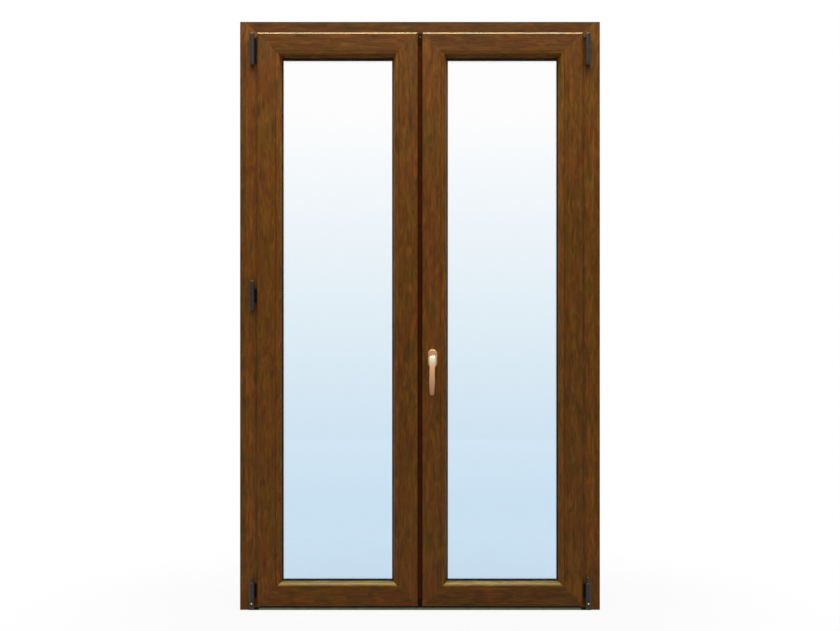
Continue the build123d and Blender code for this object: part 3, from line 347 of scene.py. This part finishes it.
def cover_bar(node, along, offset, light, box, leaf):
    """Dress one bar: foil on its faces, smoother foil set paler as a painted highlight on the bends
    that face up, bare core in its rebate.
    """
    foil = walnut_foil("walnut_foil_" + node, along, offset, light)
    # The bend foil is a painted highlight: lighter and more olive than the bar's foil.
    bend = walnut_foil("walnut_foil_bend_highlight_" + node, along, offset, light * BEND_LIGHT, 0.75,
                       (0.36, 0.30), 0.53)
    mesh = dress(node, foil, bend, core)
    low, high = box
    for face in mesh.polygons:
        spot, turn = face.center, face.normal
        inset = min(spot.x - low.x, high.x - spot.x, spot.z - low.z, high.z - spot.z)
        if leaf:
            hidden = (OVERLAP - NEAR < inset < REBATE_WIDTH
                      and LIP_BACK < spot.y < LEAF_BACK - 2 * NEAR)
            # Bends that face up take the paler foil, a painted highlight.
            painted_highlight = inset < BEND and spot.y < LIP_BACK and TILTED_UP < turn.z < LEVEL
            face.material_index = 2 if hidden else int(painted_highlight)
        else:
            hidden = abs(inset - FRAME_REBATE) < NEAR and FACE_Y + 4 * NEAR < spot.y < LEG_INNER
            face.material_index = 2 * int(hidden)


BARS = [
    ("frame_head", "x", (0.13, 0.4, 0.9), 0.66),
    ("frame_jamb_left", "z", (1.7, 0.0, 3.1), 1.24),
    ("frame_jamb_right", "z", (2.9, 0.2, 0.7), 1.18),
    ("jamb_extensions", "z", (4.1, 0.0, 5.3), 0.95),
    ("left_top_rail", "x", (0.0, 1.3, 2.2), 0.82),
    ("left_bottom_rail", "x", (0.0, 2.1, 7.4), 0.9),
    ("left_lock_stile", "z", (5.7, 0.5, 1.9), 0.97),
    ("left_hinge_stile", "z", (6.3, 0.9, 2.6), 1.02),
    ("right_top_rail", "x", (0.0, 3.3, 4.4), 0.74),
    ("right_bottom_rail", "x", (0.0, 4.6, 6.1), 0.76),
    ("right_lock_stile", "z", (7.9, 0.3, 4.7), 1.0),
    ("right_hinge_stile", "z", (8.8, 1.1, 3.4), 0.94),
]
frame_low, frame_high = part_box("frame_head")
frame_low.z = -1.0           # well below the floor: the frame has no bottom bar
for node, along, offset, light in BARS:
    side = node.split("_")[0]
    if side in LEAF:
        corners = [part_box(name) for name in LEAF[side]]
        box = (corners[0][0], corners[1][1])
        cover_bar(node, along, offset, light, box, True)
    else:
        cover_bar(node, along, offset, light, (frame_low, frame_high), False)
print(len(BARS), "bars covered")

# %% [markdown]
# The four beads of a leaf are one CAD node, so its faces are sorted by the mitre lines: a face
# belongs to a level bead when it is nearer to the ring's top or bottom than to its sides.

# %% Foil on the beads
bead_upright = walnut_foil("walnut_foil_bead_upright", "z", (9.6, 0.2, 8.2), 1.1)
bead_level = walnut_foil("walnut_foil_bead_level", "x", (0.0, 5.2, 9.5), 0.98)
# The ledge foil is a painted highlight: paler and more olive than the level bead's foil.
ledge_highlight = walnut_foil("walnut_foil_bead_ledge", "x", (0.0, 5.2, 9.5), 1.5, 0.28, (0.42, 0.34),
                         0.535)
for side in ("left", "right"):
    node = side + "_glazing_beads"
    low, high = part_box(node)
    mesh = dress(node, bead_upright, bead_level, ledge_highlight)
    count = 0
    for face in mesh.polygons:
        spot = face.center
        level = min(high.z - spot.z, spot.z - low.z) < min(high.x - spot.x, spot.x - low.x)
        # Faces of a level bead that look up take the ledge foil, a painted highlight.
        face.material_index = int(level) + int(level and face.normal.z > TILTED_UP)
        count += level
    print(node, len(mesh.polygons), "faces,", count, "on the level beads")

# %% [markdown]
# ## Glass
# A sealed unit is two panes of float glass, which is nearly clear. The photograph shows it white
# at the top and a pale blue at the bottom, and a plain tint that fades with height stands for
# that. It belongs to the picture and not to the glass: for clear panes, the three colours of the
# ramp become white. Light passes both panes, so each takes the square root of the colour seen.

# %% Glass
material, tree, shader = start_material("float_glass")
place = add(tree, "ShaderNodeTexCoord").outputs["Object"]
height = add(tree, "ShaderNodeSeparateXYZ", {0: place}).outputs["Z"]
FULL_TINT, NO_TINT = 0.40, 1.78            # the blue is full below one height, gone above the other
part = add(tree, "ShaderNodeMapRange", {0: height, 1: FULL_TINT, 2: NO_TINT})
tint = add(tree, "ShaderNodeValToRGB", {0: part.outputs[0]},
           [(0.0, linear("#c7dff1", 0.5)), (1.0, linear("#ffffff", 0.5)),
            (0.45, linear("#e0eef7", 0.5))])
tree.links.new(tint.outputs[0], shader.inputs["Base Color"])
shader.inputs["Roughness"].default_value = 0.0
shader.inputs["Transmission Weight"].default_value = 1.0
shader.inputs["IOR"].default_value = 1.5
dress("left_panes", material)
dress("right_panes", material)
print("glass", [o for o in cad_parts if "pane" in o])

# %% [markdown]
# ## Metals and plastics
# Hinges are zinc castings with a dark bronze coat. The handle and its rosette are bronze-anodised
# aluminium, brushed before anodising. What hides inside the joints is zinc-plated steel. The sill
# is anodised aluminium, the seals are EPDM rubber, and the end caps are moulded nylon. They differ
# in colour, gloss and grain size only, so one recipe with those numbers makes them all. The two
# colours of each are its darkest and its palest tone, and the grain is given in millimetres.

# %% Metal and plastic function
def finish(name, dark, pale, metallic, rough_low, rough_high, grain_mm, stretch=(1, 1, 1),
           strength=0.2, gloss=0.5):
    """A finish with a cloudy colour between two tones, uneven gloss and a fine surface grain."""
    cloud, lift, relief = 22 * MM, 0.12, 0.05 * MM
    material, tree, shader = start_material(name)
    place = add(tree, "ShaderNodeTexCoord").outputs["Object"]
    fine_place = add(tree, "ShaderNodeMapping", {"Vector": place, "Scale": stretch})
    fine = add(tree, "ShaderNodeTexNoise", {"Vector": fine_place.outputs[0],
                                            "Scale": 1 / (grain_mm * MM), "Detail": 3.0})
    broad = add(tree, "ShaderNodeTexNoise", {"Vector": place, "Scale": 1 / cloud,
                                             "Detail": 3.0})
    both = add(tree, "ShaderNodeMath", {0: fine.outputs[0], 1: broad.outputs[0], 2: lift},
               operation="MULTIPLY_ADD")
    tone = add(tree, "ShaderNodeValToRGB", {0: both.outputs[0]},
               [(0.2, linear(dark)), (0.55, linear(pale))])
    tree.links.new(tone.outputs[0], shader.inputs["Base Color"])
    rough = add(tree, "ShaderNodeMapRange", {0: fine.outputs[0], 3: rough_low, 4: rough_high})
    tree.links.new(rough.outputs[0], shader.inputs["Roughness"])
    bump = add(tree, "ShaderNodeBump", {"Height": fine.outputs[0], "Strength": strength,
                                        "Distance": relief})
    tree.links.new(bump.outputs[0], shader.inputs["Normal"])
    shader.inputs["Metallic"].default_value = metallic
    shader.inputs["Specular IOR Level"].default_value = gloss
    return material


print("recipe ready")

# %% [markdown]
# A finish tells what a thing is made of before its shape does. So each one below says what it
# stands for and what the eye should get from it.

# %% Finishes
# Sprayed bronze coat: even, soft and low in gloss, because the casting below it isn't polished.
bronze_coat = finish("dark_bronze_coat", "#241c16", "#342a22", 0.0, 0.28, 0.40, 1.2, gloss=0.3)
# Painted shade on the hinge straps: nearly black, with hardly a reflection, for the shade between
# barrel and leaf.
strap_shade_black = finish("black_strap_painted_shade", "#060504", "#100d0a", 0.0, 0.4, 0.5, 1.2,
                     gloss=0.15)
# Anodised after brushing: the grain runs along the lever and stretches every highlight.
anodised_bronze = finish("bronze_anodised_aluminium", "#b98a62", "#d3a780", 0.55, 0.30, 0.42, 0.9,
                         stretch=(1, 1, 0.08), gloss=0.3)
# Zinc plating: a pale grey metal with a cloudy gloss.
zinc_steel = finish("zinc_plated_steel", "#a6a8a6", "#c9cbc8", 1.0, 0.28, 0.45, 2.5)
# Anodised sill: an olive grey, drawn lengthwise through the die.
anodised_sill = finish("anodised_sill_aluminium", "#565c48", "#6e745c", 0.8, 0.35, 0.5, 1.0,
                       stretch=(0.05, 1, 1))
# Moulded nylon: matt, with the fine texture of a spark-eroded mould.
nylon = finish("black_moulded_nylon", "#110a04", "#1d1208", 0.0, 0.45, 0.6, 0.8, gloss=0.08)
brown_nylon = finish("dark_brown_moulded_nylon", "#1c0f05", "#2c1909", 0.0, 0.5, 0.65, 0.8,
                     gloss=0.06)
# Screws that show: a blackened one in the cap, and bright nickel ones in the bearings.
dull_steel = finish("blackened_steel_screw", "#57503f", "#716852", 1.0, 0.3, 0.4, 0.8)
bright_steel = finish("nickel_plated_screw", "#cfc7ae", "#f2ecd4", 1.0, 0.2, 0.3, 0.8)
# Extruded rubber: the roughest of all, and olive where the glazing seal shows to the room.
rubber = finish("black_epdm_rubber", "#060605", "#0e0e0c", 0.0, 0.6, 0.8, 1.5, gloss=0.12)
olive_rubber = finish("olive_glazing_rubber", "#1c1c10", "#2a2a1a", 0.0, 0.6, 0.8, 1.5,
                      gloss=0.12)
# Painted shade: the strip of foil in the gap between the leaves, far darker than the bars' foil,
# with its fine grain upright.
gap_shade_foil = finish("dark_walnut_foil_painted_shade", "#3b1800", "#532500", 0.0, 0.35, 0.5, 2.0,
                      stretch=(1, 1, 0.05), gloss=0.06)
# Rolled aluminium between the panes.
spacer_bar = finish("mill_aluminium_spacer", "#8f9290", "#b4b7b5", 1.0, 0.35, 0.5, 1.2)
print("finishes ready")

# %% [markdown]
# ## The lever: wear and a painted highlight
# In the photograph the lever runs from a dull tan at its end to nearly brass at its head. Hands do
# polish a lever's head, but most of this is light that these lamps don't repeat. So the lever takes
# a copy of the bronze whose colour runs the same way with height: a little wear, and mostly a
# painted highlight on its head. Its six colours were tuned against the photograph. Under other
# light, the plain bronze of the rosette is the truer one.

# %% Worn bronze with a painted highlight
LEVER_END, LEVER_HEAD = 0.768, 0.906       # heights of the lever's ends at rest
worn_and_lit_bronze = anodised_bronze.copy()
worn_and_lit_bronze.name = "bronze_anodised_aluminium_worn_and_lit"
tree = worn_and_lit_bronze.node_tree
shader = tree.nodes["Principled BSDF"]
height = add(tree, "ShaderNodeSeparateXYZ", {
    0: add(tree, "ShaderNodeTexCoord").outputs["Object"]}).outputs["Z"]
grip = add(tree, "ShaderNodeMapRange", {0: height, 1: LEVER_END, 2: LEVER_HEAD})
# The ramp pales towards the head: a little wear and mostly a painted highlight.
wear_and_highlight = add(tree, "ShaderNodeValToRGB", {0: grip.outputs[0]},
           [(0.0, linear("#a67c54")), (1.0, linear("#fff2c8")), (0.35, linear("#c4966c")),
            (0.62, linear("#ecac7c")), (0.78, linear("#f9c592")), (0.9, linear("#fff0c6"))])
tree.links.new(wear_and_highlight.outputs[0], shader.inputs["Base Color"])
shader.inputs["Metallic"].default_value = 0.35
print("worn", worn_and_lit_bronze.name)

# %% [markdown]
# ## Who wears what
# Every node that has no foil or glass by now gets one of these finishes, by its name. What isn't
# named is inner hardware, and is zinc-plated. A glazing seal looks olive from the room in the
# photograph, and so it is olive on that side and plain black rubber behind.

# %% Finishes on the nodes
SEAL_ROOM_SIDE = -0.0265     # the room side of a glazing seal lies in front of this depth
FINISHES = {
    "thermal_break": nylon, "threshold_end_blocks": nylon, "meeting_end_caps": brown_nylon,
    "pivot_bush": nylon,
    "frame_gasket": rubber, "left_leaf_gasket": rubber, "right_leaf_gasket": rubber,
    "left_spacer": spacer_bar, "right_spacer": spacer_bar,
    "threshold_rail": anodised_sill, "threshold_sill": anodised_sill,
    "handle_rosette": anodised_bronze, "handle_lever": worn_and_lit_bronze,
}
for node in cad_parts:
    if node in FINISHES:
        dress(node, FINISHES[node])
    elif node.startswith(("hinge_top", "hinge_middle", "hinge_bottom", "stay_bearing", "stay_arm")):
        dress(node, bronze_coat)
    elif not any(m and m.name.startswith(("walnut_foil_", "float_glass"))
                 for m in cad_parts[node].data.materials):
        dress(node, zinc_steel)
for side in ("left", "right"):
    mesh = dress(side + "_glazing_gaskets", rubber, olive_rubber)
    for face in mesh.polygons:
        face.material_index = int(face.center.y < SEAL_ROOM_SIDE)
print("finishes on", len(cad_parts), "nodes")

# %% [markdown]
# Some nodes carry more than one finish. A hinge's barrel is coated like its cover, and the strap
# behind it is painted nearly black as shade. The threshold's nose is bare anodised aluminium, and
# the face behind it, under the leaf, is painted black as the shade that the leaf casts on it. The
# meeting profile is painted dark as shade on the strip that shows in the gap, walnut on its cover
# outdoors, and bare core in between.

# %% Nodes with several finishes
HINGE_Y, BARREL = -0.055, 0.0094           # depth of the hinge line, and the barrel's radius
STRAP_OFF = 0.0006                         # beyond the barrel by this much, a face is the strap's
# The black above the nose, in front, is painted shade under the leaf, not a brush strip.
NOSE_TOP = 0.009                           # above this, and in front, lies the brush strip
STRIP_BACK, COVER_FRONT = -0.0325, 0.0195  # depths on the meeting profile
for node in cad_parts:
    if node.startswith("hinge_") and node.endswith("_sleeve"):
        low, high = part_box(node)
        middle = low.x + BARREL if high.x < 0 else high.x - BARREL
        # Faces beyond the barrel are the strap, painted nearly black as shade.
        mesh = dress(node, bronze_coat, strap_shade_black)
        for face in mesh.polygons:
            away = math.hypot(face.center.x - middle, face.center.y - HINGE_Y)
            face.material_index = int(away > BARREL + STRAP_OFF)
# The rail's face above the nose wears black nylon as painted shade under the leaf.
mesh = dress("threshold_rail", anodised_sill, nylon)
for face in mesh.polygons:
    face.material_index = int(face.center.z > NOSE_TOP and face.center.y < FACE_Y + 5 * NEAR)
outside = walnut_foil("walnut_foil_meeting_cover", "z", (3.4, 1.6, 0.8), 1.0)
# The strip in the gap takes the dark foil, painted shade.
mesh = dress("meeting_profile", gap_shade_foil, outside, core)
for face in mesh.polygons:
    level = face.center.y
    face.material_index = 1 if level > COVER_FRONT else 0 if level < STRIP_BACK else 2
print("hinges, threshold and meeting profile finished face by face")

# %% [markdown]
# ## Screws
# Real doors are full of screws that a CAD model of the bars leaves out: they hold the keeps, the
# faceplates, the hinge straps and the caps. A countersunk or pan head stands less than a millimetre
# proud, with a cross or a hexagon sunk in it. A filled flat curve is the shortest way to make one:
# a circle with the drive as a hole in it, raised a little and with its rim bevelled.

# %% Screw head function
def screw_head(name, body, place, facing, radius, drive="cross", height=0.5, metal=zinc_steel):
    """One screw head, in millimetres, whose underside rests at a place and faces a direction."""
    curve = bpy.data.curves.new(name, "CURVE")
    curve.dimensions, curve.fill_mode = "2D", "BOTH"
    rim = height * 0.4
    round_head = [(math.cos(a * math.pi / 10), math.sin(a * math.pi / 10)) for a in range(20)]
    if drive == "cross":
        arm, slim = 0.55, 0.13             # half length and half width, in radii of the head
        hole = [(slim, arm), (-slim, arm), (-slim, slim), (-arm, slim), (-arm, -slim),
                (-slim, -slim), (-slim, -arm), (slim, -arm), (slim, -slim), (arm, -slim),
                (arm, slim), (slim, slim)]
    else:
        hole = [(0.5 * math.cos(a * math.pi / 3), 0.5 * math.sin(a * math.pi / 3))
                for a in range(6)]
    for points, scale in ((round_head, radius - rim), (hole, radius)):
        spline = curve.splines.new("POLY")
        spline.points.add(len(points) - 1)
        spline.use_cyclic_u = True
        for point, (u, v) in zip(spline.points, points):
            point.co = (u * scale * MM, v * scale * MM, 0.0, 1.0)
    curve.extrude = (height / 2 - rim) * MM
    curve.bevel_depth, curve.bevel_resolution = rim * MM, 2
    maker = bpy.data.objects.new(name + "_curve", curve)
    mesh = bpy.data.meshes.new_from_object(maker)
    bpy.data.objects.remove(maker)
    facing = Vector(facing)
    turn = facing.to_track_quat("Z", "Y").to_matrix().to_4x4()
    turn.translation = (Vector(place) + facing * height / 2) * MM
    mesh.transform(turn)
    mesh.materials.clear()
    mesh.materials.append(metal)
    piece = bpy.data.objects.new(name, mesh)
    bpy.context.collection.objects.link(piece)
    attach(piece, body)
    return piece


print("screw function ready")

# %% [markdown]
# The places below repeat the CAD's levels in millimetres. Each screw rides on the body that its
# plate belongs to, so it moves with it. The adjusting screws in the bottom bearings are bright
# nickel and take a hexagon key, because the fitter reaches them with the doors shut. First come
# the screws that show from the room, then those of the lock and its keeps, then the bolts'.

# %% Screws on their plates
HINGE_X = 597.5              # the hinge line's distance from the middle
GROOVE = -25.5               # mid depth of the lock groove
STILE_FACE = 27.75           # the right leaf's edge, with its faceplates
LEAF_TOP, LEAF_BOTTOM = 2038, 36
HEAD_FACE, THRESHOLD_FACE = 2048, 26
for i, side in enumerate((-1, 1)):
    screw_head(f"cup_screw_{i}", "root", (side * HINGE_X, -65.1, 28), (0, -1, 0), 2.9, "hex", 0.5,
               bright_steel)
screw_head("cap_screw", "left_leaf", (0, -38.6, 2044.5), (0, -1, 0), 2.4, metal=dull_steel)
for z in (100, 470, 700, 1080, 1420, 1640, 1930):
    screw_head(f"faceplate_screw_{z}", "right_leaf", (STILE_FACE, GROOVE, z), (-1, 0, 0), 3.3)
for x in (62, 95, 222):
    screw_head(f"top_faceplate_screw_{x}", "right_leaf", (x, GROOVE, LEAF_TOP), (0, 0, 1), 3.3)
    screw_head(f"bottom_faceplate_screw_{x}", "right_leaf", (x, GROOVE, LEAF_BOTTOM),
               (0, 0, -1), 3.3)
for x in (292, 320):
    screw_head(f"stay_guide_screw_{x}", "right_leaf", (x, GROOVE, LEAF_TOP), (0, 0, 1), 3.3)
for level in (330, 1180, 1760):
    for z in (level - 22, level - 8):
        screw_head(f"meeting_keep_screw_{z}", "left_leaf", (17.25, GROOVE, z), (1, 0, 0), 3.2)
for x in (142, 156):
    screw_head(f"head_keep_screw_{x}", "root", (x, GROOVE, HEAD_FACE), (0, 0, -1), 3.0)
for x in (174, 188):
    screw_head(f"threshold_keep_screw_{x}", "root", (x, GROOVE, THRESHOLD_FACE), (0, 0, 1),
               3.0)
for x in (-4.2, 20.2):
    side = "a" if x < 0 else "b"
    screw_head(f"head_bolt_plate_screw_{side}", "root", (x, -14, HEAD_FACE), (0, 0, -1), 2.6)
    screw_head(f"threshold_bolt_plate_screw_{side}", "root", (x, -14, THRESHOLD_FACE), (0, 0, 1),
               2.6)
for name, body, sign, levels in (
        ("top_left_strap", "left_leaf", -1, (1975, 2030)),
        ("middle_left_strap", "left_leaf", -1, (1106, 1138)),
        ("bottom_left_strap", "left_leaf", -1, (55, 85)),
        ("bottom_right_strap", "right_leaf", 1, (55, 85))):
    for z in levels:
        screw_head(f"{name}_screw_{z}", body, (sign * 563.0, -19, z), (sign, 0, 0), 3.4,
                   metal=bronze_coat)
for sign, side in ((-1, "left"), (1, "right")):
    for z in (150, 750, 1350, 1950):
        screw_head(f"wall_fixing_{side}_{z}", "root", (sign * 572.5, -8, z), (-sign, 0, 0), 5.4,
                   height=1.2)

# %% Finish
bpy.context.view_layer.update()
low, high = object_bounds()
print("visual box", [round(v, 4) for v in low], [round(v, 4) for v in high])
